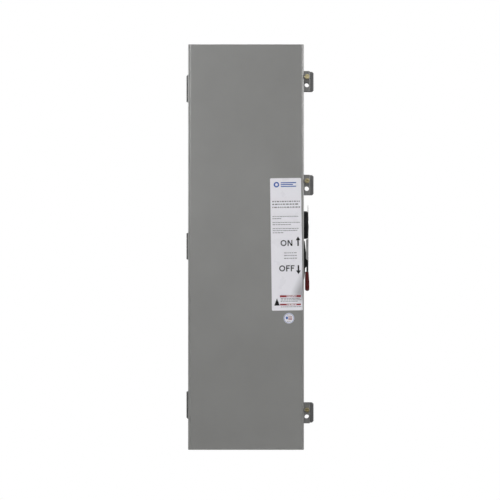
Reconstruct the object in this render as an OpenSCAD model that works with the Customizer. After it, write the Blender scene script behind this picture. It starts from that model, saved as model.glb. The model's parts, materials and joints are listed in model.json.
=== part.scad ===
// Wall-mounted enclosed circuit breaker used as an AC disconnect.
// Millimetres. X to the right, Y towards the wall, Z up. The front faces -Y.
// Origin: centre of the four wall mounting holes, on the back face.

/* [Door] */
// Width of the door
door_w = 272.5; // [260:0.5:300]
// Height of the door
door_h = 953; // [900:1:1100]
// Depth of the closed enclosure, from the wall to the door's face
depth = 180; // [175:1:200]
// Depth of the door's folded returns
door_return = 22; // [18:1:24]

/* [Handle] */
// Height of the handle's pivot above the middle of the box
handle_z = 53.5; // [30:0.5:70]
// Distance from the door's face back to the handle's pivot
handle_setback = 75; // [70:1:85]
// Throw of the handle from OFF to ON, degrees
throw_deg = 120; // [100:1:120]

/* [Hinges and hasps] */
// Height of a hinge
hinge_h = 61.5; // [60:0.5:80]
// Height of a hasp
hasp_h = 48; // [44:0.5:56]
// Diameter of the padlock holes in the hasps
padlock_d = 11.1; // [8:0.1:11.1]

/* [Breaker] */
// Width of the breaker
breaker_w = 140; // [138:1:150]
// Height of the breaker
breaker_h = 256; // [250:1:280]
// Distance between the breaker's poles
pole_pitch = 44; // [43:0.5:45]

/* [Hidden] */
$fn = 64;
eps = 0.01;

// Sheet metal and the fit of the door round the box
sheet = 1.9;
door_gap = 1.6;
gasket_t = 4.7;
seal_gap = 0.3;
lip_w = 20;
bend_inner_r = 1.1;
face_y = -depth;
door_inner_y = face_y + sheet;
box_w = door_w - 2 * (sheet + door_gap);
box_h = door_h - 2 * (sheet + door_gap);
box_front_y = door_inner_y + gasket_t + seal_gap;
side_x = box_w / 2;
end_z = box_h / 2;
bend_side_r = 7;
bend_end_r = 2.4;

// Wall mounting holes
mount_dx = 203.2;
mount_dz = 863.6;
mount_r = 5.55;

// Knockouts in the two end walls
knockout_r = 25.2;
knockout_slit = 0.8;
knockout_tab = 5;
knockout_xs = [-70, 0, 70];
knockout_y = -85;

// Hinges: centres up the left side, and the knuckle split of each
hinge_zs = [375.8, 2.1, -374.2];
short_knuckle_up = [false, true, true];
long_knuckle = 24.5;
knuckle_gap = 0.4;
barrel_r = 3.5;
leaf_t = 1.9;
pin_r = 2.2;
pin_fit = 0.05;
hinge_x = -(side_x + leaf_t + barrel_r - 0.1);
hinge_y = face_y + door_return + 8;
leaf_depth = 18;
leaf_clear = 0.6;

// Hasps: centres up the right side
hasp_zs = [392.2, 147, -392.4];
hasp_x = door_w / 2 + 7.5;
hasp_screw_dz = 9;
padlock_dz = -8.7;
door_tab_y = face_y + 15.5;
door_tab_reach = 15.1;
box_tab_y = face_y + 27.5;
box_tab_t = 2.5;
box_tab_reach = 24;
tab_chamfer = 3.5;
box_tab_return = 24;
door_tab_lip = 4;
door_tab_chamfer = 1.5;
hasp_screw_r = 3.1;
hasp_screw_hole_r = hasp_screw_r + 0.4;
hasp_screw_travel = 7.62;
hasp_head_r = 5.9;
hasp_head_h = 4.5;

// Handle, measured outwards from the side of the box
handle_y = face_y + handle_setback;
hub_r = 33.5;
hub_x = door_w / 2 + 12.5;
lever_x = hub_x + 0.2;
lever_t = 1.4;
lever_tail = 47.5;
lever_tail_half_w = 6;
lever_end = 112.7;
lever_half_w = 11;
flange_x = door_w / 2 + 8;
flange_end = 84.5;
neck_x = door_w / 2 + 9.8;
tang_half_w = 7.5;
grip_top = 113;
grip_end = 159.5;
grip_inner_x = door_w / 2 + 6.5;
grip_outer_x = door_w / 2 + 16;
grip_half_w = 12;
shaft_r = 6.35;
shaft_end_r = 5;
rivet_r = 2.4;
rivet_drop = 87;
tang_top = 83;
bushing_r = 9.4;
shaft_fit = 0.05;
shaft_end_x = 94.5;
lock_hole_r = 4.75;
lock_hole_drop = 74;
base_screw_dy = 22;
base_screw_r = 2.5;
base_screw_hole_r = base_screw_r + 0.05;
base_screw_seat = hub_x - 4;

// Crank and yoke
yoke_travel = 41;
crank_r = yoke_travel / 2 / sin(throw_deg / 2);
crank_x = 97;
crank_t = 5;
crank_pin_r = 4;
// The crank pin's place with the handle in OFF
crank_pin_y = handle_y - crank_r * cos(throw_deg / 2);
crank_pin_z = handle_z - crank_r * sin(throw_deg / 2);
yoke_arm_x = 90;
yoke_arm_t = 2.5;
yoke_slot_clear = 2;

// Breaker stack, from the wall forwards
pan_y = -20;
pan_t = 2;
pan_half_w = 100;
pan_z = [-330, 300];
pan_corners = [for (x = [-1, 1] * (pan_half_w - 12), z = [pan_z[0] + 15, pan_z[1] - 15]) [x, z]];
pan_screw_r = 3;
breaker_back = pan_y - pan_t;
split_y = breaker_back - 50;
breaker_front = breaker_back - 104;
escutcheon_y = breaker_front - 5;
frame_t = 2;
rod_y_pos = breaker_front - 14;
rod_x = 48;
rod_r = 3;
rod_span = 58;
frame_screw_step = 50;
frame_screw_r = 2.2;
toggle_swing = 20;
toggle_y = rod_y_pos + yoke_travel / 2 / tan(toggle_swing);
toggle_reach = 66;
toggle_half_w = 10;
toggle_hub_r = 7;
trunnion_r = 4;
trunnion_end = 21.8;
shield_r = 40;
poles = [-pole_pitch, 0, pole_pitch];
breaker_screw_r = 2.5;
breaker_screw_dz = breaker_h / 2 - 16;
button_x = 21;
button_dz = -37;
button_r = 3;
barrier_half_t = 1;
barrier_y = [breaker_front + 6, breaker_back - 8];
barrier_root = breaker_h / 2 - 6;
floor_y = breaker_back - 18;
chamber_half_w = 19;
pocket_half_w = 17;
pocket_z = breaker_h / 2 - 34;
chamber_top = 88;
bay_top = -34;
bay_bottom = -90;
strap_t = 4;
strap_half_w = 11;
lug_size = 30;
lug_bore_r = 9.5;
lug_bore_y = floor_y - strap_t - 14;
lug_screw_r = 6;
lug_z = breaker_h / 2 - 1 - lug_size / 2;
crossbar_y = floor_y - 17;
crossbar_dz = 8;
crossbar_r = 9;
crossbar_half_w = 62;
contact_half_w = 5;
contact_half_t = 3;
contact_y = [crossbar_y - contact_half_t, crossbar_y + contact_half_t];
contact_reach = 54;
contact_open = 30;

// Neutral and ground bars, below the breaker
bar_hole_r = 3.2;
bar_hole_inset = 8;
neutral_insulator_t = 28;
neutral_place = [-60, breaker_back - neutral_insulator_t, -220];
neutral_size = [18, 12, 116];
neutral_holes = 8;
ground_place = [55, breaker_back, -300];
ground_size = [14, 11, 80];
ground_holes = 6;

// Instruction label and seal on the door's face
label_size = [72.8, 311];
label_centre = [95, 6.6];
label_tilt = 0.82;
film_t = 0.35;
seal_centre = [100.9, -167];
seal_r = 12.5;

// A block between pairs of limits along X, Y and Z
module block(x, y, z) {
  translate([x[0], y[0], z[0]])
    cube([x[1] - x[0], y[1] - y[0], z[1] - z[0]]);
}

// A flat outline in Y and Z, extruded along X
module along_x(x) {
  translate([x[0], 0, 0])
    rotate([90, 0, 90])
      linear_extrude(x[1] - x[0])
        children();
}

// A flat outline in X and Z, extruded along Y
module along_y(y) {
  translate([0, y[1], 0])
    rotate([90, 0, 0])
      linear_extrude(y[1] - y[0])
        children();
}

// A flat outline in X and Y, extruded along Z
module along_z(z) {
  translate([0, 0, z[0]])
    linear_extrude(z[1] - z[0])
      children();
}

module rod_along_x(x, y, z, r) {
  along_x(x)
    translate([y, z])
      circle(r);
}

module rod_along_y(y, x, z, r) {
  along_y(y)
    translate([x, z])
      circle(r);
}

module rod_along_z(z, x, y, r) {
  along_z(z)
    translate([x, y])
      circle(r);
}

// A rectangle between two corners with true round corners
module rounded_rect(low, high, r) {
  size = high - low;
  translate(low + [r, 0])
    square(size - [2 * r, 0]);
  translate(low + [0, r])
    square(size - [0, 2 * r]);
  for (x = [low[0] + r, high[0] - r], y = [low[1] + r, high[1] - r])
    translate([x, y])
      circle(r);
}

// A rounded block, for moulded pieces: round along Y only
module rounded_block_y(x, y, z, r) {
  along_y(y)
    rounded_rect([x[0], z[0]], [x[1], z[1]], r);
}

// Children turned about an axis along X through the point (y, z)
module turned_about_x(y, z, angle) {
  translate([0, y, z])
    rotate([angle, 0, 0])
      translate([0, -y, -z])
        children();
}

// A screw head with a hexagon rim and a slot, facing -Y, its seat at seat_y
module slotted_head_y(x, z, seat_y, r, h, slot_w) {
  difference() {
    translate([x, seat_y, z])
      rotate([90, 0, 0])
        cylinder(r = r, h = h, $fn = 6);
    block([x - r - 1, x + r + 1], [seat_y - h - eps, seat_y - h + h / 3], [z - slot_w / 2, z + slot_w / 2]);
  }
}

// A round pan head with a slot, facing -Y
module pan_head_y(x, z, seat_y, r, h) {
  slot_w = r / 3.5;
  difference() {
    rod_along_y([seat_y - h, seat_y], x, z, r);
    block([x - r - 1, x + r + 1], [seat_y - h - eps, seat_y - h + h / 3], [z - slot_w / 2, z + slot_w / 2]);
  }
}

// ---------------------------------------------------------------- Enclosure

module shell_profile() {
  difference() {
    rounded_rect([-side_x, box_front_y], [side_x, 0], bend_inner_r + sheet);
    rounded_rect([-side_x + sheet, box_front_y + sheet], [side_x - sheet, -sheet], bend_inner_r);
    translate([-side_x + lip_w, box_front_y - 5])
      square([box_w - 2 * lip_w, lip_w]);
  }
}

module wall_holes() {
  for (x = [-1, 1] * mount_dx / 2, z = [-1, 1] * mount_dz / 2)
    rod_along_y([-sheet - 5, 5], x, z, mount_r);
}

module side_wall_holes() {
  rod_along_x([side_x - 5, side_x + 5], handle_y, handle_z, bushing_r + 0.1);
  for (dy = [-1, 1] * base_screw_dy)
    rod_along_x([side_x - 5, side_x + 5], handle_y + dy, handle_z, base_screw_hole_r);
}

module box_shell() color([0.53, 0.53, 0.52]) {
  difference() {
    along_z([-end_z, end_z])
      shell_profile();
    wall_holes();
    side_wall_holes();
  }
}

// One slit ring, bridged by two small tabs, that lets a round slug be punched out
module knockout_slit_outline() {
  difference() {
    circle(knockout_r);
    circle(knockout_r - knockout_slit);
    square([knockout_tab, 3 * knockout_r], center = true);
  }
}

module end_wall() {
  inner_x = side_x - sheet;
  difference() {
    along_z([end_z - sheet, end_z])
      intersection() {
        rounded_rect([-inner_x, -depth], [inner_x, -sheet], bend_inner_r);
        translate([-inner_x, box_front_y + sheet])
          square([2 * inner_x, depth]);
      }
    along_z([end_z - 5, end_z + 5])
      for (x = knockout_xs)
        translate([x, knockout_y])
          knockout_slit_outline();
  }
  lip_x = side_x - lip_w;
  block([-lip_x, lip_x], [box_front_y, box_front_y + sheet], [end_z - lip_w, end_z]);
}

module top_end_wall() color([0.53, 0.53, 0.52]) end_wall();

module bottom_end_wall() color([0.53, 0.53, 0.52]) mirror([0, 0, 1]) end_wall();

// ---------------------------------------------------------------- Hinges

// Limits of the three knuckles of a hinge, bottom to top, about its centre
function knuckle_cuts(short_up) =
  short_up
    ? [-hinge_h / 2, -hinge_h / 2 + long_knuckle, -hinge_h / 2 + 2 * long_knuckle, hinge_h / 2]
    : [-hinge_h / 2, hinge_h / 2 - 2 * long_knuckle, hinge_h / 2 - long_knuckle, hinge_h / 2];

module knuckle(z) {
  difference() {
    rod_along_z(z, hinge_x, hinge_y, barrel_r);
    rod_along_z([z[0] - 1, z[1] + 1], hinge_x, hinge_y, pin_r + pin_fit);
  }
}

module hinge_box_leaf(cuts) {
  clear_y = hinge_y + barrel_r + leaf_clear;
  for (i = [0, 2])
    knuckle([cuts[i] + knuckle_gap / 2, cuts[i + 1] - knuckle_gap / 2]);
  block([-side_x - leaf_t, -side_x], [clear_y, hinge_y + leaf_depth], [cuts[0], cuts[3]]);
  for (i = [0, 2])
    block([hinge_x, -side_x], [hinge_y + pin_r + leaf_clear, clear_y + eps],
      [cuts[i] + knuckle_gap / 2, cuts[i + 1] - knuckle_gap / 2]);
}

module hinge_door_leaf(cuts) {
  outer_x = -door_w / 2;
  knuckle([cuts[1] + knuckle_gap / 2, cuts[2] - knuckle_gap / 2]);
  block([outer_x - leaf_t, outer_x], [hinge_y - leaf_depth, hinge_y - barrel_r - leaf_clear],
    [cuts[0], cuts[3]]);
  block([outer_x - leaf_t, outer_x], [hinge_y - barrel_r - leaf_clear - eps, hinge_y - pin_r - leaf_clear],
    [cuts[1] + knuckle_gap / 2, cuts[2] - knuckle_gap / 2]);
}

module hinge_box_leaves() color([0.36, 0.36, 0.36]) {
  for (i = [0:2])
    translate([0, 0, hinge_zs[i]])
      hinge_box_leaf(knuckle_cuts(short_knuckle_up[i]));
}

module hinge_door_leaves() color([0.36, 0.36, 0.36]) {
  for (i = [0:2])
    translate([0, 0, hinge_zs[i]])
      hinge_door_leaf(knuckle_cuts(short_knuckle_up[i]));
}

module hinge_pins() color([0.6, 0.6, 0.6]) {
  head_h = 0.8;
  for (z = hinge_zs) {
    rod_along_z([z - hinge_h / 2, z + hinge_h / 2], hinge_x, hinge_y, pin_r);
    for (end = [[z - hinge_h / 2 - head_h, z - hinge_h / 2], [z + hinge_h / 2, z + hinge_h / 2 + head_h]])
      rod_along_z(end, hinge_x, hinge_y, barrel_r - 0.4);
  }
}

// ---------------------------------------------------------------- Hasps

// A hasp tab's outline in X and Z, its two outer corners cut
module tab_outline(x, chamfer) {
  polygon([
    [x[0], -hasp_h / 2],
    [x[1] - chamfer, -hasp_h / 2],
    [x[1], -hasp_h / 2 + chamfer],
    [x[1], hasp_h / 2 - chamfer],
    [x[1] - chamfer, hasp_h / 2],
    [x[0], hasp_h / 2]
  ]);
}

module tab_holes(screw_hole_r) {
  translate([hasp_x, padlock_dz])
    circle(d = padlock_d);
  translate([hasp_x, hasp_screw_dz])
    circle(screw_hole_r);
}

module box_hasp() {
  along_y([box_tab_y, box_tab_y + box_tab_t])
    difference() {
      tab_outline([side_x, door_w / 2 + box_tab_reach], tab_chamfer);
      tab_holes(hasp_screw_hole_r);
    }
  block([side_x, side_x + sheet], [box_tab_y + box_tab_t - eps, box_tab_y + box_tab_return],
    [-hasp_h / 2, hasp_h / 2]);
}

module door_hasp() {
  tab_end_x = door_w / 2 + door_tab_reach;
  along_y([door_tab_y, door_tab_y + sheet])
    difference() {
      tab_outline([door_w / 2, tab_end_x], door_tab_chamfer);
      tab_holes(hasp_screw_hole_r);
    }
  block([door_w / 2, door_w / 2 + sheet], [door_tab_y + sheet - eps, face_y + door_return],
    [-hasp_h / 2, hasp_h / 2]);
  block([tab_end_x - sheet, tab_end_x], [door_tab_y + sheet - eps, door_tab_y + sheet + door_tab_lip],
    [-hasp_h / 2 + door_tab_chamfer, hasp_h / 2 - door_tab_chamfer]);
}

module box_hasps() color([0.42, 0.42, 0.42]) {
  for (z = hasp_zs)
    translate([0, 0, z])
      box_hasp();
}

module door_hasps() color([0.48, 0.48, 0.47]) {
  for (z = hasp_zs)
    translate([0, 0, z])
      door_hasp();
}

module hasp_nuts() color([0.72, 0.68, 0.5]) {
  nut_y = box_tab_y + box_tab_t;
  nut_h = 5.5;
  for (z = hasp_zs)
    difference() {
      translate([hasp_x, nut_y + nut_h, z + hasp_screw_dz])
        rotate([90, 0, 0])
          cylinder(r = 6.2, h = nut_h, $fn = 6);
      rod_along_y([nut_y - 1, nut_y + nut_h + 1], hasp_x, z + hasp_screw_dz, hasp_screw_r + 0.3);
    }
}

// The captive screw, drawn backed out so that its tip is clear of the box tab
module hasp_screw(z) color([0.78, 0.7, 0.42]) {
  seat_y = door_tab_y - hasp_screw_travel - 0.3;
  groove_y = door_tab_y + sheet + 0.3;
  groove_end = groove_y + 1.1;
  slotted_head_y(hasp_x, z + hasp_screw_dz, seat_y, hasp_head_r, hasp_head_h, 1.4);
  rod_along_y([seat_y - eps, groove_y], hasp_x, z + hasp_screw_dz, hasp_screw_r);
  rod_along_y([groove_y - eps, groove_end], hasp_x, z + hasp_screw_dz, hasp_screw_r - 0.7);
  rod_along_y([groove_end - eps, box_tab_y - 0.6], hasp_x, z + hasp_screw_dz, hasp_screw_r);
}

// The washer-like ring that keeps the screw in the door's hasp
module screw_retainer(z) color([0.2, 0.2, 0.2]) {
  groove_y = door_tab_y + sheet + 0.35;
  difference() {
    rod_along_y([groove_y, groove_y + 1], hasp_x, z + hasp_screw_dz, 4.6);
    rod_along_y([groove_y - 1, groove_y + 2], hasp_x, z + hasp_screw_dz, hasp_screw_r - 0.65);
  }
}

// ---------------------------------------------------------------- Door

// The door's outer block, or the space inside it, with the bends rounded
module door_block(inset, back_y) {
  x = door_w / 2 - inset;
  z = door_h / 2 - inset;
  front = face_y + inset;
  intersection() {
    along_z([-z, z])
      rounded_rect([-x, front], [x, front + 60], bend_side_r - inset);
    along_x([-x, x])
      rounded_rect([front, -z], [front + 60, z], bend_end_r - inset);
    block([-x, x], [front, back_y], [-z, z]);
  }
}

module door_pan() color([0.53, 0.53, 0.52]) {
  difference() {
    door_block(0, face_y + door_return);
    door_block(sheet, face_y + door_return + 1);
  }
}

module door_gasket() color([0.12, 0.12, 0.12]) {
  outer = [side_x - 4, end_z - 3];
  inner = outer - [14, 14];
  along_y([door_inner_y, door_inner_y + gasket_t])
    difference() {
      rounded_rect(-outer, outer, 6);
      rounded_rect(-inner, inner, 2);
    }
}

module door_stiffener() color([0.6, 0.6, 0.6]) {
  half_h = door_h / 2 - 60;
  wall = 1.5;
  centre_x = -40;
  crown = 15;
  flange = 12;
  rise = 8;
  along_z([-half_h, half_h])
    translate([centre_x, door_inner_y])
      polygon([
        [-crown - flange, 0], [-crown, 0], [-crown + wall, rise - wall], [crown - wall, rise - wall],
        [crown, 0], [crown + flange, 0], [crown + flange, wall], [crown + wall, wall],
        [crown, rise], [-crown, rise], [-crown - wall, wall], [-crown - flange, wall]
      ]);
}

module instruction_label() color([0.86, 0.86, 0.87]) {
  translate([label_centre[0], 0, label_centre[1]])
    rotate([0, -label_tilt, 0])
      along_y([face_y - film_t, face_y])
        rounded_rect(-label_size / 2, label_size / 2, 2);
}

module round_seal() color([0.9, 0.9, 0.9])
  rod_along_y([face_y - film_t, face_y], seal_centre[0], seal_centre[1], seal_r);

module wiring_label() color([0.9, 0.9, 0.86])
  rounded_block_y([10, 110], [door_inner_y, door_inner_y + film_t], [-300, -150], 2);

// ---------------------------------------------------------------- Handle

module handle_base() color([0.1, 0.1, 0.1]) {
  difference() {
    union() {
      rod_along_x([side_x, hub_x - 2], handle_y, handle_z, hub_r);
      rod_along_x([side_x, hub_x], handle_y, handle_z, hub_r - 1.6);
    }
    rod_along_x([side_x - 1, hub_x + 1], handle_y, handle_z, shaft_r + 2);
    rod_along_x([side_x - 1, side_x + 1.5], handle_y, handle_z, bushing_r + 0.2);
    for (dy = [-1, 1] * base_screw_dy) {
      rod_along_x([side_x - 1, hub_x + 1], handle_y + dy, handle_z, base_screw_hole_r);
      rod_along_x([base_screw_seat, hub_x + 1], handle_y + dy, handle_z, 4.8);
    }
  }
}

module handle_base_screws() color([0.65, 0.65, 0.65]) {
  for (dy = [-1, 1] * base_screw_dy) {
    rod_along_x([side_x - sheet - 6, base_screw_seat], handle_y + dy, handle_z, base_screw_r);
    difference() {
      rod_along_x([base_screw_seat, hub_x - 1.2], handle_y + dy, handle_z, 4.5);
      block([hub_x - 2.2, hub_x], [handle_y + dy - 6, handle_y + dy + 6], [handle_z - 0.6, handle_z + 0.6]);
    }
    translate([side_x - sheet - 4, handle_y + dy, handle_z])
      rotate([0, 90, 0])
        cylinder(r = 4.6, h = 4, $fn = 6);
  }
}

module shaft_bushing() color([0.75, 0.62, 0.35]) {
  flange_x_end = side_x - sheet;
  difference() {
    union() {
      rod_along_x([flange_x_end - 8, flange_x_end], handle_y, handle_z, 14);
      rod_along_x([flange_x_end - eps, side_x + 1], handle_y, handle_z, bushing_r);
    }
    rod_along_x([flange_x_end - 9, side_x + 2], handle_y, handle_z, shaft_r + shaft_fit);
  }
}

// Side of the ramp behind the lever in OFF: it rises to a flat crest behind the tang and falls away.
// Each point is a distance out from the box's side and a drop below the pivot.
module off_lock_outline() {
  crest = neck_x - side_x - 0.5;
  foot = door_w / 2 + 4.5 - side_x;
  crest_drop = [lock_hole_drop + 3, rivet_drop + 13.5];
  foot_drop = [104, 125.5];
  end_drop = grip_end + 0.5;
  translate([side_x, handle_z])
    polygon([
      [0, -hub_r - 1], [8.5, -hub_r - 5], [crest, -crest_drop[0]], [crest, -crest_drop[1]],
      [foot + 1.6, -foot_drop[0]], [foot, -foot_drop[1]], [3, 10 - end_drop], [0, -end_drop]
    ]);
}

// The ramp as a folded channel, drilled for the padlock that holds the lever in OFF

module off_lock_bracket() color([0.1, 0.1, 0.1]) {
  half_w = 8;
  front_y = handle_y - half_w;
  difference() {
    along_y([front_y, handle_y + half_w])
      off_lock_outline();
    along_y([front_y + sheet, handle_y + half_w + 1])
      translate([-sheet, 0])
        off_lock_outline();
    rod_along_x([side_x + 2, neck_x], handle_y, handle_z - lock_hole_drop, lock_hole_r);
  }
}

// Flat lever plate with a tail above the pivot and one stiffening flange at its front edge
module lever_outline() {
  boss_r = 23;
  neck_half_w = 9;
  tail_z = lever_tail - lever_tail_half_w;
  one_edge = [
    [lever_tail_half_w, tail_z], [lever_tail_half_w, boss_r + 1], [20, 10], [lever_half_w, -28],
    [lever_half_w, -flange_end], [neck_half_w, -flange_end - 5], [neck_half_w, -lever_end]
  ];
  other_edge = [for (i = [len(one_edge) - 1:-1:0]) [-one_edge[i][0], one_edge[i][1]]];
  translate([handle_y, handle_z])
    difference() {
      union() {
        circle(boss_r);
        translate([0, tail_z])
          circle(lever_tail_half_w);
        polygon(concat(one_edge, other_edge));
      }
      circle(shaft_end_r);
      translate([0, -lock_hole_drop])
        circle(lock_hole_r);
      translate([0, -rivet_drop])
        circle(rivet_r);
    }
}

module handle_lever() color([0.6, 0.6, 0.6]) {
  front_y = handle_y - lever_half_w;
  flange_top = handle_z - 34;
  flange_bottom = handle_z - flange_end;
  along_x([lever_x, lever_x + lever_t])
    lever_outline();
  along_y([front_y, front_y + lever_t])
    polygon([
      [lever_x + eps, flange_top], [flange_x + 1.5, flange_top], [flange_x, flange_top - 3],
      [flange_x, flange_bottom + 4], [flange_x + 2.5, flange_bottom], [lever_x + eps, flange_bottom]
    ]);
}

module tang_outline() {
  rounded_rect([handle_y - tang_half_w, handle_z - grip_top - 14],
    [handle_y + tang_half_w, handle_z - tang_top], 3);
}

module grip_tang() color([0.1, 0.1, 0.1]) {
  along_x([neck_x, lever_x])
    tang_outline();
  rod_along_x([lever_x - eps, lever_x + lever_t + 0.5], handle_y, handle_z - rivet_drop, rivet_r);
}

// Points of an arc, from one angle to another
function arc(centre, r, from, to, steps = 16) =
  [for (i = [0:steps]) let (a = from + (to - from) * i / steps) centre + r * [cos(a), sin(a)]];

// The moulded grip: a pad that widens towards a round end
module handle_grip() color([0.4, 0.06, 0.06]) {
  end_r = (grip_outer_x - grip_inner_x) / 2;
  top_half_w = 9.5;
  top_z = handle_z - grip_top;
  bottom_z = handle_z - grip_end;
  difference() {
    intersection() {
      along_x([grip_inner_x, grip_outer_x])
        polygon(concat(
          [[handle_y - top_half_w, top_z]],
          arc([handle_y, bottom_z + grip_half_w], grip_half_w, 180, 360),
          [[handle_y + top_half_w, top_z]]));
      along_y([handle_y - 20, handle_y + 20])
        polygon(concat(
          [[grip_inner_x, top_z]],
          arc([grip_inner_x + end_r, bottom_z + end_r], end_r, 180, 360),
          [[grip_outer_x, top_z - 25], [grip_outer_x - 1.6, top_z]]));
    }
    along_x([neck_x, lever_x])
      tang_outline();
  }
}

module handle_shaft() color([0.66, 0.66, 0.66]) {
  rod_along_x([shaft_end_x, lever_x - 0.05], handle_y, handle_z, shaft_r);
  rod_along_x([lever_x - 0.05 - eps, lever_x + lever_t], handle_y, handle_z, shaft_end_r);
}

module crank_arm() color([0.6, 0.6, 0.6]) {
  difference() {
    turned_about_x(handle_y, handle_z, throw_deg / 2)
      along_x([crank_x, crank_x + crank_t])
        union() {
          translate([handle_y, handle_z])
            circle(12);
          translate([handle_y - crank_r, handle_z])
            circle(7.5);
          translate([handle_y, handle_z])
            polygon([[0, -11], [0, 11], [-crank_r, 7.4], [-crank_r, -7.4]]);
        }
    rod_along_x([crank_x - 1, crank_x + crank_t + 1], handle_y, handle_z, shaft_r);
    rod_along_x([crank_x - 1, crank_x + crank_t + 1], crank_pin_y, crank_pin_z, crank_pin_r);
  }
}

module crank_pin() color([0.75, 0.75, 0.75]) {
  rod_along_x([yoke_arm_x - 2.5, crank_x + crank_t + 0.8], crank_pin_y, crank_pin_z, crank_pin_r);
}

module shaft_snap_ring() color([0.3, 0.3, 0.3]) {
  difference() {
    rod_along_x([crank_x + crank_t, crank_x + crank_t + 1.2], handle_y, handle_z, 9);
    rod_along_x([crank_x + crank_t - 1, crank_x + crank_t + 3], handle_y, handle_z, shaft_r);
    block([crank_x, crank_x + 10], [handle_y + 4, handle_y + 12], [handle_z - 2.5, handle_z + 2.5]);
  }
}

// ---------------------------------------------------------------- Mechanism

module mechanism_frame() color([0.62, 0.62, 0.58]) {
  half_w = rod_x + 12;
  difference() {
    block([-half_w, half_w], [breaker_front - frame_t, breaker_front],
      [handle_z - rod_span, handle_z + rod_span]);
    block([-32, 32], [breaker_front - 5, breaker_front + 1], [handle_z - 48, handle_z + 48]);
    for (x = [-1, 1] * frame_screw_step, z = [-1, 1] * frame_screw_step)
      rod_along_y([breaker_front - 5, breaker_front + 1], x, handle_z + z, frame_screw_r + 0.1);
  }
  for (z = [handle_z - rod_span, handle_z + rod_span - frame_t])
    difference() {
      block([-half_w, half_w], [rod_y_pos - 8, breaker_front - frame_t + eps], [z, z + frame_t]);
      for (x = [-rod_x, rod_x])
        rod_along_z([z - 1, z + frame_t + 1], x, rod_y_pos, rod_r);
    }
}

module guide_rods() color([0.75, 0.75, 0.76]) {
  for (x = [-rod_x, rod_x])
    rod_along_z([handle_z - rod_span - 1.5, handle_z + rod_span + 1.5], x, rod_y_pos, rod_r);
}

module frame_screws() color([0.7, 0.7, 0.7]) {
  for (x = [-1, 1] * frame_screw_step, z = [-1, 1] * frame_screw_step) {
    pan_head_y(x, handle_z + z, breaker_front - frame_t, 3.8, 2.2);
    rod_along_y([breaker_front - frame_t - eps, breaker_front], x, handle_z + z, frame_screw_r);
  }
}

// Slide with a fork over the toggle and a cross slot for the crank pin, drawn in OFF
module yoke_slide() color([0.7, 0.68, 0.45]) {
  z = handle_z - yoke_travel / 2;
  half_h = 11;
  arm_back = crank_pin_y + crank_pin_r + 6;
  slot_half = crank_pin_r + yoke_slot_clear;
  slot_y = [handle_y - crank_r - crank_pin_r - 1.5, crank_pin_y + crank_pin_r + 1.5];
  plate_y = [rod_y_pos - yoke_arm_t / 2, rod_y_pos + yoke_arm_t / 2];
  difference() {
    union() {
      block([-rod_x, yoke_arm_x + yoke_arm_t], plate_y, [z - half_h, z + half_h]);
      block([yoke_arm_x, yoke_arm_x + yoke_arm_t], [plate_y[0], arm_back], [z - half_h, z + half_h]);
      for (x = [-rod_x, rod_x])
        rod_along_z([z - half_h - 1, z + half_h + 1], x, rod_y_pos, 6);
    }
    for (x = [-rod_x, rod_x])
      rod_along_z([z - 20, z + 20], x, rod_y_pos, rod_r + 0.06);
    block([-toggle_half_w - 3, toggle_half_w + 3], [plate_y[0] - 1, plate_y[1] + 1], [z - 7.2, z + 7.2]);
    along_x([yoke_arm_x - 1, yoke_arm_x + yoke_arm_t + 1])
      rounded_rect([slot_y[0], z - slot_half], [slot_y[1], z + slot_half], slot_half - 0.2);
  }
}

// ---------------------------------------------------------------- Breaker

module breaker_pan() color([0.7, 0.7, 0.68]) {
  flange = 8;
  difference() {
    union() {
      block([-pan_half_w, pan_half_w], [breaker_back, pan_y], pan_z);
      for (x = [-pan_half_w, pan_half_w - pan_t])
        block([x, x + pan_t], [pan_y - eps, pan_y + flange], pan_z);
    }
    for (corner = pan_corners)
      rod_along_y([breaker_back - 1, pan_y + 1], corner[0], corner[1], pan_screw_r + 0.2);
  }
}

module pan_standoffs() color([0.62, 0.62, 0.6]) {
  for (corner = pan_corners)
    difference() {
      translate([corner[0], -sheet, corner[1]])
        rotate([90, 0, 0])
          cylinder(r = 7, h = -pan_y - sheet, $fn = 6);
      rod_along_y([pan_y - 1, pan_y + 12], corner[0], corner[1], pan_screw_r + 0.05);
    }
}

module pan_screws() color([0.72, 0.72, 0.72]) {
  for (corner = pan_corners) {
    pan_head_y(corner[0], corner[1], breaker_back, 5.5, 3.2);
    rod_along_y([breaker_back - eps, pan_y + 10], corner[0], corner[1], pan_screw_r);
  }
}

// Pole chambers, trip bay, terminal pockets and barrier grooves cut from the breaker
module breaker_hollows(y) {
  translate([0, 0, handle_z]) {
    for (x = poles) {
      block([x - chamber_half_w, x + chamber_half_w], y, [bay_top, chamber_top]);
      for (z = [[pocket_z, breaker_h / 2 + 1], [-breaker_h / 2 - 1, -pocket_z]])
        block([x - pocket_half_w, x + pocket_half_w], [breaker_front - 1, min(y[1], floor_y)], z);
    }
    block([-breaker_w / 2 + 7, breaker_w / 2 - 7], y, [bay_bottom, bay_top - 6]);
    for (x = [-1, 1] * pole_pitch / 2, side = [0, 1])
      mirror([0, 0, side])
        block([x - barrier_half_t, x + barrier_half_t], barrier_y, [barrier_root, breaker_h / 2 + 1]);
  }
}

module breaker_screw_holes(r) {
  for (x = [-1, 1] * pole_pitch / 2, z = [-1, 1] * breaker_screw_dz)
    rod_along_y([breaker_front - 1, breaker_back + 1], x, handle_z + z, r);
}

module strap_slots() {
  for (x = poles)
    block([x - strap_half_w, x + strap_half_w], [floor_y - strap_t, floor_y],
      [handle_z - breaker_h / 2 + 2, handle_z + breaker_h / 2 - 2]);
}

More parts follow.
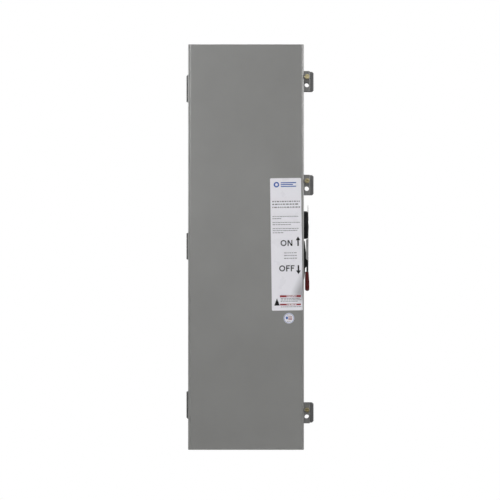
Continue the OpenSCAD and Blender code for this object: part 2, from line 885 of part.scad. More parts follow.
module breaker_base() color([0.13, 0.13, 0.14]) {
  difference() {
    rounded_block_y([-breaker_w / 2, breaker_w / 2], [split_y, breaker_back],
      [handle_z - breaker_h / 2, handle_z + breaker_h / 2], 3);
    breaker_hollows([split_y - 1, floor_y]);
    strap_slots();
    breaker_screw_holes(breaker_screw_r + 0.1);
    rod_along_x([-crossbar_half_w - 2, crossbar_half_w + 2], crossbar_y, handle_z + crossbar_dz,
      crossbar_r + 1);
    block([-crossbar_half_w - 2, crossbar_half_w + 2], [split_y - 1, crossbar_y],
      [handle_z + crossbar_dz - crossbar_r - 1, handle_z + crossbar_dz + crossbar_r + 1]);
  }
}

module breaker_cover() color([0.15, 0.15, 0.16]) {
  slot_half = 25;
  difference() {
    union() {
      rounded_block_y([-breaker_w / 2, breaker_w / 2], [breaker_front, split_y],
        [handle_z - breaker_h / 2, handle_z + breaker_h / 2], 3);
      rounded_block_y([-30, 30], [escutcheon_y, breaker_front + eps], [handle_z - 46, handle_z + 46], 3);
    }
    breaker_hollows([breaker_front + 4, split_y + 1]);
    breaker_screw_holes(breaker_screw_r + 0.1);
    rod_along_x([-14, 14], toggle_y, handle_z, shield_r + 2);
    block([-toggle_half_w - 2, toggle_half_w + 2], [escutcheon_y - 1, toggle_y],
      [handle_z - slot_half, handle_z + slot_half]);
    rod_along_x([-trunnion_end - 0.7, trunnion_end + 0.7], toggle_y, handle_z, trunnion_r + 0.08);
    rod_along_y([escutcheon_y - 1, breaker_front + 8], button_x, handle_z + button_dz, button_r + 0.35);
    rod_along_y([escutcheon_y + 4, breaker_front + 5], button_x, handle_z + button_dz, button_r + 1.6);
  }
}

module breaker_screws() color([0.7, 0.7, 0.7]) {
  for (x = [-1, 1] * pole_pitch / 2, z = [-1, 1] * breaker_screw_dz) {
    pan_head_y(x, handle_z + z, breaker_front, 4.3, 2.8);
    rod_along_y([breaker_front - eps, breaker_back], x, handle_z + z, breaker_screw_r);
  }
}

// Copper straps that carry the contacts and the lugs
module line_straps() color([0.72, 0.45, 0.28]) {
  for (x = poles) {
    block([x - strap_half_w, x + strap_half_w], [floor_y - strap_t, floor_y],
      [handle_z + contact_reach, handle_z + breaker_h / 2 - 2]);
    rod_along_y([floor_y - strap_t - 4, floor_y - strap_t + eps], x,
      handle_z + crossbar_dz + contact_reach, 5);
  }
}

module load_straps() color([0.72, 0.45, 0.28]) {
  for (x = poles)
    block([x - strap_half_w, x + strap_half_w], [floor_y - strap_t, floor_y],
      [handle_z - breaker_h / 2 + 2, handle_z - 10]);
}

module lugs(side) {
  for (x = poles)
    translate([0, 0, handle_z + side * lug_z])
      difference() {
        block([x - lug_size / 2, x + lug_size / 2], [floor_y - strap_t - lug_size, floor_y - strap_t],
          [-lug_size / 2, lug_size / 2]);
        rod_along_z([-lug_size, lug_size], x, lug_bore_y, lug_bore_r);
        rod_along_y([floor_y - strap_t - lug_size - 1, lug_bore_y], x, 0, lug_screw_r);
      }
}

module lug_screws(side) {
  tip_y = lug_bore_y - lug_bore_r - 0.3;
  top_y = floor_y - strap_t - lug_size - 9;
  for (x = poles)
    translate([0, 0, handle_z + side * lug_z])
      difference() {
        rod_along_y([top_y, tip_y], x, 0, lug_screw_r);
        translate([x, top_y + 6, 0])
          rotate([90, 0, 0])
            cylinder(r = 3.6, h = 7, $fn = 6);
      }
}

module line_lugs() color([0.78, 0.78, 0.79]) lugs(1);
module load_lugs() color([0.78, 0.78, 0.79]) lugs(-1);
module line_lug_screws() color([0.68, 0.68, 0.7]) lug_screws(1);
module load_lug_screws() color([0.68, 0.68, 0.7]) lug_screws(-1);

module phase_barriers() color([0.3, 0.12, 0.1]) {
  reach = 34;
  for (x = [-1, 1] * pole_pitch / 2, side = [0, 1])
    translate([0, 0, handle_z])
      mirror([0, 0, side])
        block([x - barrier_half_t, x + barrier_half_t], barrier_y, [barrier_root, breaker_h / 2 + reach]);
}

module arc_chutes() color([0.5, 0.5, 0.5]) {
  plates = 7;
  pitch = 8;
  low_z = handle_z + 76;
  high_z = handle_z + chamber_top - 0.5;
  first_y = floor_y - strap_t - 8;
  half_w = 16;
  for (x = poles) {
    for (wall_x = [x - half_w, x + half_w])
      block([wall_x - 1, wall_x + 1], [first_y - plates * pitch, first_y + 2], [low_z, high_z]);
    for (i = [0:plates - 1])
      block([x - half_w, x + half_w], [first_y - i * pitch - 1.6, first_y - i * pitch], [low_z, high_z]);
  }
}

module trip_unit() color([0.22, 0.22, 0.24]) {
  block([-breaker_w / 2 + 8, breaker_w / 2 - 8], [breaker_front + 8, floor_y - strap_t - 0.3],
    [handle_z + bay_bottom + 1, handle_z + bay_top - 7]);
}

// The moulded toggle, drawn in OFF, with a curved shield that closes its slot
module breaker_toggle() color([0.12, 0.12, 0.12]) {
  turned_about_x(toggle_y, handle_z, toggle_swing) {
    rod_along_x([-toggle_half_w, toggle_half_w], toggle_y, handle_z, toggle_hub_r);
    rod_along_x([-trunnion_end, trunnion_end], toggle_y, handle_z, trunnion_r);
    along_x([-toggle_half_w, toggle_half_w])
      translate([toggle_y, handle_z])
        polygon([
          [0, -6.5], [0, 6.5], [-shield_r, 6], [-toggle_reach + 1.5, 4.6], [-toggle_reach, 3.2],
          [-toggle_reach, -3.2], [-toggle_reach + 1.5, -4.6], [-shield_r, -6]
        ]);
    along_x([-toggle_half_w - 2, toggle_half_w + 2])
      translate([toggle_y, handle_z])
        difference() {
          circle(shield_r);
          circle(shield_r - 2.5);
          translate([-shield_r * 0.72, -shield_r - 1])
            square([2 * shield_r, 2 * shield_r + 2]);
        }
  }
}

module crossbar() color([0.25, 0.14, 0.1]) {
  difference() {
    rod_along_x([-crossbar_half_w, crossbar_half_w], crossbar_y, handle_z + crossbar_dz, crossbar_r);
    turned_about_x(crossbar_y, handle_z + crossbar_dz, contact_open)
      for (x = poles)
        block([x - contact_half_w, x + contact_half_w], contact_y,
          [handle_z + crossbar_dz - 5, handle_z + crossbar_dz + crossbar_r + 1]);
  }
}

module contact_arms() color([0.75, 0.5, 0.32]) {
  turned_about_x(crossbar_y, handle_z + crossbar_dz, contact_open)
    for (x = poles) {
      block([x - contact_half_w, x + contact_half_w], contact_y,
        [handle_z + crossbar_dz - 5, handle_z + crossbar_dz + contact_reach + 6]);
      rod_along_y([contact_y[1] - eps, floor_y - strap_t - 4.3], x,
        handle_z + crossbar_dz + contact_reach, 4.5);
    }
}

module trip_button() color([0.75, 0.12, 0.1]) {
  rod_along_y([escutcheon_y - 2.5, breaker_front + 4.4], button_x, handle_z + button_dz, button_r);
  rod_along_y([escutcheon_y + 4.4, escutcheon_y + 6], button_x, handle_z + button_dz, button_r + 1.2);
}

// ---------------------------------------------------------------- Neutral and ground

module neutral_insulator() color([0.55, 0.12, 0.1]) {
  rounded_block_y([neutral_place[0] - 20, neutral_place[0] + 20], [neutral_place[1], breaker_back],
    [neutral_place[2] - 45, neutral_place[2] + 45], 3);
}

// Heights of a terminal bar's wire holes, evenly spread along its length
function bar_hole_zs(length, holes) =
  [for (i = [0:holes - 1]) -length / 2 + bar_hole_inset + i * (length - 2 * bar_hole_inset) / (holes - 1)];

// A bar of a width, a thickness and a length, with wire holes across it and a tapped hole over each
module terminal_bar(size, holes) {
  difference() {
    block([-size[0] / 2, size[0] / 2], [-size[1], 0], [-size[2] / 2, size[2] / 2]);
    for (z = bar_hole_zs(size[2], holes)) {
      rod_along_x([-size[0], size[0]], -size[1] / 2, z, bar_hole_r);
      rod_along_y([-size[1] - 1, -size[1] / 2], 0, z, 2.5);
    }
  }
}

module terminal_bar_screws(size, holes) {
  seat_y = -size[1] - 0.5;
  for (z = bar_hole_zs(size[2], holes)) {
    pan_head_y(0, z, seat_y, 4, 2.2);
    rod_along_y([seat_y - eps, -size[1] / 2 - bar_hole_r - 0.2], 0, z, 2.5);
  }
}

module neutral_bar() color([0.78, 0.78, 0.79])
  translate(neutral_place)
    terminal_bar(neutral_size, neutral_holes);

module neutral_screws() color([0.68, 0.68, 0.7])
  translate(neutral_place)
    terminal_bar_screws(neutral_size, neutral_holes);

module ground_bar() color([0.78, 0.78, 0.79])
  translate(ground_place)
    rotate([0, 90, 0])
      terminal_bar(ground_size, ground_holes);

module ground_screws() color([0.2, 0.5, 0.25])
  translate(ground_place)
    rotate([0, 90, 0])
      terminal_bar_screws(ground_size, ground_holes);

box_shell();
top_end_wall();
bottom_end_wall();
hinge_box_leaves();
hinge_pins();
box_hasps();
hasp_nuts();
breaker_pan();
pan_standoffs();
pan_screws();
breaker_base();
breaker_cover();
breaker_screws();
line_straps();
load_straps();
line_lugs();
load_lugs();
line_lug_screws();
load_lug_screws();
phase_barriers();
arc_chutes();
trip_unit();
neutral_insulator();
neutral_bar();
neutral_screws();
ground_bar();
ground_screws();
handle_base();
shaft_bushing();
handle_base_screws();
off_lock_bracket();
mechanism_frame();
guide_rods();
frame_screws();
door_pan();
door_gasket();
door_stiffener();
hinge_door_leaves();
door_hasps();
instruction_label();
round_seal();
wiring_label();
hasp_screw(hasp_zs[0]);  // hasp_screw_top
hasp_screw(hasp_zs[1]);  // hasp_screw_middle
hasp_screw(hasp_zs[2]);  // hasp_screw_bottom
screw_retainer(hasp_zs[0]);  // screw_retainer_top
screw_retainer(hasp_zs[1]);  // screw_retainer_middle
screw_retainer(hasp_zs[2]);  // screw_retainer_bottom
handle_lever();
grip_tang();
handle_grip();
handle_shaft();
crank_arm();
crank_pin();
shaft_snap_ring();
yoke_slide();
breaker_toggle();
crossbar();
contact_arms();
trip_button();
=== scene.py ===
import json
import math
import random

import bmesh
import bpy
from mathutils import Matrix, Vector

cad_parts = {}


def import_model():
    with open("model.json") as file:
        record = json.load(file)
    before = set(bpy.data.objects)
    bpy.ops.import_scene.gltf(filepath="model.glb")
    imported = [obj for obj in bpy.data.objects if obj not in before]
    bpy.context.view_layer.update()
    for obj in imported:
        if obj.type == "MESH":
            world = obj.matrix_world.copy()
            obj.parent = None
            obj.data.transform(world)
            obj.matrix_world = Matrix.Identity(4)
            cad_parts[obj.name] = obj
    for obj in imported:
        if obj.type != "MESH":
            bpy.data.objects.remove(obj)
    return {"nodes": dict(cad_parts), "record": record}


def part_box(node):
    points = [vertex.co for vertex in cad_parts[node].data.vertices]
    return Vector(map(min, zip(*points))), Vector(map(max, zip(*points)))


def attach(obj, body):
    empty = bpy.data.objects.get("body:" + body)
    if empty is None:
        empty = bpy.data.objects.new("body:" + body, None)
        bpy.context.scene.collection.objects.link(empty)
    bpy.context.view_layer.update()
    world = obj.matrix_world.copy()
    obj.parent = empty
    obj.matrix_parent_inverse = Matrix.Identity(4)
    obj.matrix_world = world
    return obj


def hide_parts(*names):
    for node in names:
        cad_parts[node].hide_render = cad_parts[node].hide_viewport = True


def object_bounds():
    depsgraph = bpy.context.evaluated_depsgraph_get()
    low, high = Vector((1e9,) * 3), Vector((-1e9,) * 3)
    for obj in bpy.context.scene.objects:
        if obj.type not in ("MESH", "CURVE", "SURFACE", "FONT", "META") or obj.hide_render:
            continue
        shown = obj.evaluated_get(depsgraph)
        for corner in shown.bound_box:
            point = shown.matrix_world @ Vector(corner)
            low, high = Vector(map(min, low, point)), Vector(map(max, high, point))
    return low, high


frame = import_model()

cad_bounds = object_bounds()
MM = 0.001
random.seed(7)

RECORD = frame["record"]
BODY_OF = {node: body for body, nodes in RECORD["behaviour"]["bodies"].items() for node in nodes}
SLOT_OF = {part["node"]: part["material_slot"] for part in RECORD["subparts"]}


# ------------------------------------------------------------------ Materials

class Nodes:
    """A short way to write a material's node tree."""

    def __init__(self, name):
        self.material = bpy.data.materials.new(name)
        self.material.use_nodes = True
        self.tree = self.material.node_tree
        self.shader = self.tree.nodes["Principled BSDF"]
        self.place = self.add("ShaderNodeTexCoord").outputs["Object"]

    def add(self, kind, **inputs):
        node = self.tree.nodes.new(kind)
        for key, value in inputs.items():
            self.set(node, key.replace("_", " "), value)
        return node

    def set(self, node, socket, value):
        target = node.inputs[socket]
        if isinstance(value, bpy.types.NodeSocket):
            self.tree.links.new(value, target)
        else:
            target.default_value = value

    def shade(self, **inputs):
        for key, value in inputs.items():
            self.set(self.shader, key.replace("_", " "), value)

    def noise(self, scale, detail=3.0, roughness=0.55, stretch=(1, 1, 1)):
        where = self.add("ShaderNodeMapping", Vector=self.place, Scale=stretch).outputs[0]
        return self.add("ShaderNodeTexNoise", Vector=where, Scale=scale, Detail=detail,
                        Roughness=roughness).outputs["Fac"]

    def ramp(self, factor, low, high, start=0.0, end=1.0):
        """Maps factor from start..end onto low..high, held between them."""
        node = self.add("ShaderNodeMapRange", Value=factor)
        for socket, value in (("From Min", start), ("From Max", end), ("To Min", low), ("To Max", high)):
            node.inputs[socket].default_value = value
        return node.outputs["Result"]

    def multiply(self, first, second):
        node = self.tree.nodes.new("ShaderNodeMath")
        node.operation = "MULTIPLY"
        self.set(node, 0, first)
        self.set(node, 1, second)
        return node.outputs[0]

    def mix(self, factor, first, second):
        """A colour between first and second. The node has several sockets of each name, hence the numbers."""
        node = self.tree.nodes.new("ShaderNodeMix")
        node.data_type = "RGBA"
        for socket, value in ((0, factor), (6, first), (7, second)):
            self.set(node, socket, value)
        return node.outputs[2]

    def bump(self, height, strength, distance, under=None):
        node = self.add("ShaderNodeBump", Height=height, Strength=strength, Distance=distance)
        if under is not None:
            self.tree.links.new(under, node.inputs["Normal"])
        return node.outputs[0]

    def edge(self):
        """1 on the faces that bevel_sharp() makes, 0 elsewhere."""
        node = self.tree.nodes.new("ShaderNodeAttribute")
        node.attribute_name = "edge"
        return node.outputs["Fac"]


def rgba(colour, gain=1.0):
    return tuple(min(1.0, channel * gain) for channel in colour) + (1.0,)


def painted_metal(name, colour, roughness=0.42, peel=0.16, wear=0.25, specular=0.42):
    """Baked enamel: faint mottling, orange peel, and edges worn a little lighter."""
    n = Nodes(name)
    mottle = n.noise(9.0, 5.0)
    base = n.mix(n.ramp(mottle, 0.0, 1.0, 0.35, 0.65), rgba(colour, 0.965), rgba(colour, 1.035))
    wear_and_painted_shade = n.multiply(n.edge(), n.ramp(n.noise(160.0, 4.0), 0.0, wear, 0.42, 0.62))
    n.shade(Base_Color=n.mix(wear_and_painted_shade, base, rgba(colour, 1.9)))
    n.shade(Roughness=n.ramp(n.noise(55.0, 4.0), roughness - 0.05, roughness + 0.06, 0.3, 0.7))
    n.shade(Specular_IOR_Level=specular)
    waves = n.bump(n.noise(520.0, 2.0), peel, 0.00018)
    n.shade(Normal=n.bump(n.noise(2600.0, 2.0), peel * 0.5, 0.00005, waves))
    return n.material


def plated_metal(name, colour, roughness=0.32, grain=(1, 1, 1), tarnish=0.8, darkest=0.5):
    """Rolled and plated sheet or bar: directional grain, patchy passivation, bright edges."""
    n = Nodes(name)
    patches = n.ramp(n.noise(38.0, 6.0), 0.0, 1.0, 0.3, 0.72)
    base = n.mix(n.multiply(patches, tarnish), rgba(colour), rgba(colour, darkest))
    bright = n.multiply(n.edge(), n.ramp(n.noise(300.0, 3.0), 0.1, 0.7, 0.35, 0.65))
    n.shade(Base_Color=n.mix(bright, base, rgba(colour, 1.25)), Metallic=1.0)
    brushed = n.noise(900.0, 4.0, stretch=grain)
    n.shade(Roughness=n.ramp(brushed, roughness - 0.1, roughness + 0.14, 0.3, 0.7))
    n.shade(Normal=n.bump(brushed, 0.12, 0.0001))
    return n.material


def moulded_plastic(name, colour, roughness=0.5, grit=0.25, speckle=0.05):
    """Compression-moulded plastic: fine stipple, filler specks and slightly polished edges."""
    n = Nodes(name)
    cloud = n.ramp(n.noise(24.0, 4.0), 0.0, 1.0, 0.3, 0.7)
    base = n.mix(cloud, rgba(colour, 0.85), rgba(colour, 1.2))
    specks = n.multiply(n.ramp(n.noise(1500.0, 2.0), 0.0, 1.0, 0.66, 0.74), speckle)
    pale = tuple(0.5 * channel + 0.12 for channel in colour) + (1.0,)
    wear_and_painted_shade = n.multiply(n.edge(), n.ramp(n.noise(220.0, 3.0), 0.0, 0.3, 0.4, 0.65))
    n.shade(Base_Color=n.mix(wear_and_painted_shade, n.mix(specks, base, pale), pale))
    n.shade(Roughness=n.ramp(n.noise(90.0, 4.0), roughness - 0.08, roughness + 0.1, 0.3, 0.7))
    n.shade(Specular_IOR_Level=0.12)
    n.shade(Normal=n.bump(n.noise(1900.0, 3.0), grit, 0.0001))
    return n.material


def dipped_vinyl(name, colour, roughness=0.3):
    """Thick glossy dip coating: smooth lumps under a soft skin, dusty in places."""
    n = Nodes(name)
    dust = n.ramp(n.noise(130.0, 5.0), 0.0, 0.4, 0.48, 0.75)
    base = n.mix(n.ramp(n.noise(30.0, 3.0), 0.0, 1.0, 0.3, 0.7), rgba(colour, 0.8), rgba(colour, 1.25))
    pale = tuple(0.7 * channel + 0.05 for channel in colour) + (1.0,)
    n.shade(Base_Color=n.mix(dust, base, pale))
    n.shade(Roughness=n.ramp(n.noise(210.0, 4.0), roughness - 0.06, roughness + 0.12, 0.3, 0.7))
    n.shade(Specular_IOR_Level=0.15)
    n.shade(Coat_Weight=0.08)
    n.shade(Coat_Roughness=0.18)
    lumps = n.bump(n.noise(150.0, 2.0), 0.2, 0.0004)
    n.shade(Normal=n.bump(n.noise(1200.0, 2.0), 0.12, 0.0001, lumps))
    return n.material


def foam_rubber(name, colour):
    """Closed-cell foam: open pits over the cut faces."""
    n = Nodes(name)
    cells = n.add("ShaderNodeTexVoronoi", Vector=n.place, Scale=900.0).outputs["Distance"]
    # Painted shade: the colour is darker down in the pits of the cells
    base = n.mix(n.ramp(cells, 0.0, 1.0, 0.05, 0.5), rgba(colour, 0.4), rgba(colour, 1.4))
    n.shade(Base_Color=base)
    n.shade(Roughness=n.ramp(n.noise(80.0, 3.0), 0.8, 0.95, 0.3, 0.7))
    n.shade(Normal=n.bump(cells, 0.6, 0.0004))
    return n.material


def printed_film(name, colour, roughness=0.3, wear_and_painted_shade=None):
    """Vinyl label stock: faint fibre tone, slight waves in the gloss, soiled edges.

    The last argument, if given, is (x, z, angle, width): painted shade, a soft darker band along a line on
    the film."""
    n = Nodes(name)
    tone = n.ramp(n.noise(260.0, 4.0), 0.0, 1.0, 0.3, 0.7)
    base = n.mix(tone, rgba(colour, 0.985), rgba(colour, 1.01))
    if wear_and_painted_shade:
        x, z, angle, width = wear_and_painted_shade
        half_length, fade = 45 * MM, 20 * MM
        turned = n.add("ShaderNodeMapping", Vector=n.place)
        turned.vector_type = "TEXTURE"
        turned.inputs["Location"].default_value = (x, 0, z)
        turned.inputs["Rotation"].default_value = (0, angle, 0)
        axes = n.add("ShaderNodeSeparateXYZ", Vector=turned.outputs[0])
        across = n.ramp(axes.outputs["X"], 0.0, 1.0, -width, 0.3 * width)
        along = n.multiply(n.ramp(axes.outputs["Z"], 0.0, 1.0, -half_length, -fade),
                           n.ramp(axes.outputs["Z"], 1.0, 0.0, fade, half_length))
        # Painted shade: the film is darkened to half its colour in a soft band beside the line
        base = n.mix(n.multiply(across, along), base, rgba(colour, 0.5))
    soil = n.multiply(n.edge(), n.ramp(n.noise(90.0, 4.0), 0.1, 0.6, 0.4, 0.65))
    n.shade(Base_Color=n.mix(soil, base, rgba(colour, 0.6)))
    n.shade(Roughness=n.ramp(n.noise(40.0, 3.0), roughness - 0.05, roughness + 0.07, 0.3, 0.7))
    n.shade(Normal=n.bump(n.noise(45.0, 2.0), 0.06, 0.0003))
    return n.material


def ink(name, colour, patchy=0.12):
    """Screen-printed ink, a little uneven and semi-matte."""
    n = Nodes(name)
    tone = n.ramp(n.noise(500.0, 5.0), 0.0, 1.0, 0.35, 0.65)
    lighter = tuple(channel + patchy * (0.7 - channel) for channel in colour) + (1.0,)
    n.shade(Base_Color=n.mix(tone, rgba(colour), lighter))
    n.shade(Roughness=n.ramp(n.noise(200.0, 3.0), 0.34, 0.5, 0.3, 0.7))
    n.shade(Specular_IOR_Level=0.15)
    return n.material


GREY = (0.25, 0.25, 0.243)
LABEL_WHITE = (0.88, 0.87, 0.92)
MATERIALS = {
    "grey_paint": painted_metal("grey_enamel", GREY, roughness=0.33, peel=0.07),
    "hinge_steel": painted_metal("hinge_enamel", (0.105, 0.105, 0.105), roughness=0.45, peel=0.2, wear=0.4),
    "plated_steel": plated_metal("zinc_plate", (0.5, 0.5, 0.51), roughness=0.5),
    "lever_steel": plated_metal("lever_plate", (0.62, 0.62, 0.62), roughness=0.42, grain=(1, 1, 0.06),
                                tarnish=0.5, darkest=0.75),
    "yellow_zinc": plated_metal("yellow_zinc_plate", (0.55, 0.48, 0.28), roughness=0.38,
                                tarnish=1.0, darkest=0.4),
    "moulded_black": moulded_plastic("black_moulding", (0.01, 0.01, 0.011)),
    "black_steel": painted_metal("black_oxide", (0.01, 0.01, 0.01), roughness=0.5, peel=0.1, wear=0.5,
                                 specular=0.12),
    "copper": plated_metal("copper_bar", (0.78, 0.4, 0.25), roughness=0.3, grain=(0.08, 1, 1),
                           tarnish=0.7, darkest=0.55),
    "tin_aluminium": plated_metal("tin_plate", (0.78, 0.78, 0.79), roughness=0.3,
                                  tarnish=0.35, darkest=0.75),
    "red_fibre": moulded_plastic("polyester_moulding", (0.22, 0.045, 0.035), roughness=0.55),
    "green_steel": painted_metal("green_dye", (0.04, 0.26, 0.1), roughness=0.35, peel=0.06, wear=0.7),
    "bronze": plated_metal("sintered_bronze", (0.62, 0.45, 0.24), roughness=0.48,
                           tarnish=0.9, darkest=0.5),
    "gasket_rubber": foam_rubber("foam_gasket", (0.025, 0.025, 0.026)),
    "label_film": printed_film("label_vinyl", LABEL_WHITE),
    "nylon": moulded_plastic("black_nylon", (0.03, 0.03, 0.03), roughness=0.42),
    "red_grip": dipped_vinyl("red_dip", (0.085, 0.004, 0.004)),
    "red_button": dipped_vinyl("red_button_plastic", (0.5, 0.025, 0.02), roughness=0.25),
}
INKS = {
    "black": ink("black_ink", (0.005, 0.005, 0.006), patchy=0.02),
    "grey": ink("grey_ink", (0.14, 0.14, 0.15), patchy=0.15),
    "blue": ink("blue_ink", (0.02, 0.1, 0.42), patchy=0.05),
    "red": ink("red_ink", (0.28, 0.008, 0.016), patchy=0.06),
}


# ------------------------------------------------------------------ Meshes

def object_from(name, bm, material, body, smooth_angle=40.0):
    """Makes a piece of a bmesh, shaded smooth up to an angle, and sets it riding on its body."""
    mesh = bpy.data.meshes.new(name)
    bm.to_mesh(mesh)
    bm.free()
    mesh.materials.append(material)
    mesh.polygons.foreach_set("use_smooth", [True] * len(mesh.polygons))
    mesh.set_sharp_from_angle(angle=math.radians(smooth_angle))
    piece = bpy.data.objects.new(name, mesh)
    bpy.context.scene.collection.objects.link(piece)
    weights = piece.modifiers.new("even_normals", "WEIGHTED_NORMAL")
    weights.keep_sharp = True
    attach(piece, body)
    return piece


def bevel_sharp(bm, width, segments=2, angle=28.0):
    """Rounds every edge sharper than the angle and marks the new faces in the "edge_face" layer."""
    mark = bm.faces.layers.float.new("edge_face")
    least = math.radians(angle)
    sharp = [e for e in bm.edges if len(e.link_faces) == 2 and e.calc_face_angle(0) > least]
    bevel = bmesh.ops.bevel(bm, geom=sharp, offset=width, segments=segments, profile=0.5,
                            affect="EDGES", clamp_overlap=True)
    for face in bevel["faces"]:
        face[mark] = 1.0


def edge_attribute(mesh):
    """Turns the face marks into a value per corner, which the materials read as "edge"."""
    values = [0.0] * len(mesh.polygons)
    mesh.attributes["edge_face"].data.foreach_get("value", values)
    layer = mesh.attributes.new("edge", "FLOAT", "CORNER")
    for polygon in mesh.polygons:
        for corner in polygon.loop_indices:
            layer.data[corner].value = values[polygon.index]
    mesh.attributes.remove(mesh.attributes["edge_face"])


def cad_bmesh(node):
    """A welded copy of a CAD node's mesh with its flat faces merged."""
    bm = bmesh.new()
    bm.from_mesh(frame["nodes"][node].data)
    bmesh.ops.remove_doubles(bm, verts=bm.verts, dist=2e-6)
    bmesh.ops.dissolve_limit(bm, angle_limit=math.radians(0.4), verts=bm.verts, edges=bm.edges)
    return bm


def finished(node, bevel, material):
    """Replaces a CAD node with a copy whose edges are broken as on the real piece."""
    bm = cad_bmesh(node)
    bevel_sharp(bm, bevel * MM)
    piece = object_from(f"{node}_piece", bm, material, BODY_OF[node])
    edge_attribute(piece.data)
    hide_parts(node)


# Width of the broken edge on each piece, in millimetres
BEVELS = {
    "box_shell": 0.4, "top_end_wall": 0.3, "bottom_end_wall": 0.3, "door_pan": 0.35, "box_hasps": 0.4,
    "hinge_box_leaves": 0.4, "hinge_door_leaves": 0.4, "hinge_pins": 0.5,
    "hasp_nuts": 0.4, "breaker_pan": 0.3, "pan_standoffs": 0.4, "pan_screws": 0.4, "breaker_base": 0.8,
    "breaker_cover": 0.8, "breaker_screws": 0.4, "line_straps": 0.4, "load_straps": 0.4,
    "line_lugs": 0.8, "load_lugs": 0.8, "line_lug_screws": 0.5, "load_lug_screws": 0.5,
    "phase_barriers": 0.25, "arc_chutes": 0.2, "trip_unit": 0.8, "neutral_insulator": 0.9,
    "neutral_bar": 0.6, "neutral_screws": 0.4, "ground_bar": 0.6, "ground_screws": 0.4,
    "handle_base": 0.7, "shaft_bushing": 0.4, "handle_base_screws": 0.3, "off_lock_bracket": 0.4,
    "mechanism_frame": 0.3, "guide_rods": 0.4, "frame_screws": 0.3, "door_gasket": 0.6,
    "door_stiffener": 0.25, "hasp_screw_top": 0.4, "hasp_screw_middle": 0.4, "hasp_screw_bottom": 0.4,
    "screw_retainer_top": 0.15, "screw_retainer_middle": 0.15, "screw_retainer_bottom": 0.15,
    "handle_lever": 0.35, "grip_tang": 0.5, "handle_shaft": 0.4, "crank_arm": 0.5,
    "crank_pin": 0.4, "shaft_snap_ring": 0.2, "yoke_slide": 0.4, "breaker_toggle": 0.8, "crossbar": 0.5,
    "contact_arms": 0.4, "trip_button": 0.3, "round_seal": 0.08, "wiring_label": 0.08,
}
# Painted shade: the hasp tabs take the box's grey enamel made darker for the shade they sit in, and the rear
# tabs are darker still
HASP_SHADED_ENAMEL = painted_metal("hasp_shaded_enamel", (0.17, 0.17, 0.168), roughness=0.36, peel=0.12, wear=0.6)
REAR_HASP_SHADED_ENAMEL = painted_metal("rear_hasp_shaded_enamel", (0.115, 0.115, 0.115), roughness=0.42, peel=0.12,
                                 wear=0.5)
for node, width in BEVELS.items():
    finished(node, width, REAR_HASP_SHADED_ENAMEL if node == "box_hasps" else MATERIALS[SLOT_OF[node]])


def folded_hasps():
    """The front hasp tabs, their outer edge folded back round a wide bend."""
    fold_r = 2.2 * MM
    near = 0.1 * MM
    bm = cad_bmesh("door_hasps")
    low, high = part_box("door_hasps")
    at_fold = [e for e in bm.edges
               if all(abs(v.co.x - high.x) < near and abs(v.co.y - low.y) < near for v in e.verts)]
    bmesh.ops.bevel(bm, geom=at_fold, offset=fold_r, segments=6, profile=0.5, affect="EDGES")
    bevel_sharp(bm, 0.3 * MM)
    # The front tabs take the darker enamel, which is painted shade
    piece = object_from("door_hasps_piece", bm, HASP_SHADED_ENAMEL, "door")
    edge_attribute(piece.data)
    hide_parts("door_hasps")


folded_hasps()


# ------------------------------------------------------------------ Handle grip

def grip_piece():
    """The grip as a soft dipped form, widely rounded all over."""
    bm = cad_bmesh("handle_grip")
    bevel_sharp(bm, 1.9 * MM, segments=4, angle=25.0)
    piece = object_from("handle_grip_piece", bm, MATERIALS["red_grip"], "handle",
                        smooth_angle=60.0)
    edge_attribute(piece.data)
    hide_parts("handle_grip")


grip_piece()


# ------------------------------------------------------------------ Instruction label

door_low, door_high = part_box("door_pan")
label_low, label_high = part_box("instruction_label")
LABEL_TILT = math.radians(0.82)
LABEL_W = 72.8 * MM
LABEL_H = 311 * MM
BEND_R = 7 * MM
label_mid = (label_low + label_high) / 2
bend_start_x = door_high.x - BEND_R
face_y = door_low.y


def on_door(u, v, lift):
    """The point u across and v up from the label's centre, lifted off the door's skin.

    Past the edge of the flat face the label follows the door's bend."""
    x = label_mid.x + u * math.cos(LABEL_TILT) - v * math.sin(LABEL_TILT)
    z = label_mid.z + u * math.sin(LABEL_TILT) + v * math.cos(LABEL_TILT)
    if x <= bend_start_x:
        return Vector((x, face_y - lift, z))
    turn = (x - bend_start_x) / BEND_R
    reach = BEND_R + lift
    return Vector((bend_start_x + reach * math.sin(turn), face_y + BEND_R - reach * math.cos(turn), z))


FILM_LIFT = 0.16 * MM
INK_LIFT = 0.2 * MM
OVERPRINT_LIFT = 0.02 * MM
THIN_LIFT = 0.01 * MM
FILM_CORNER = 2.5 * MM


def film_half_height(u, half_w, half_h, corner):
    """Half the label's height at u, inside its rounded corners."""
    past = abs(u) - (half_w - corner)
    if past <= 0:
        return half_h
    return half_h - corner + math.sqrt(max(0.0, corner * corner - past * past))


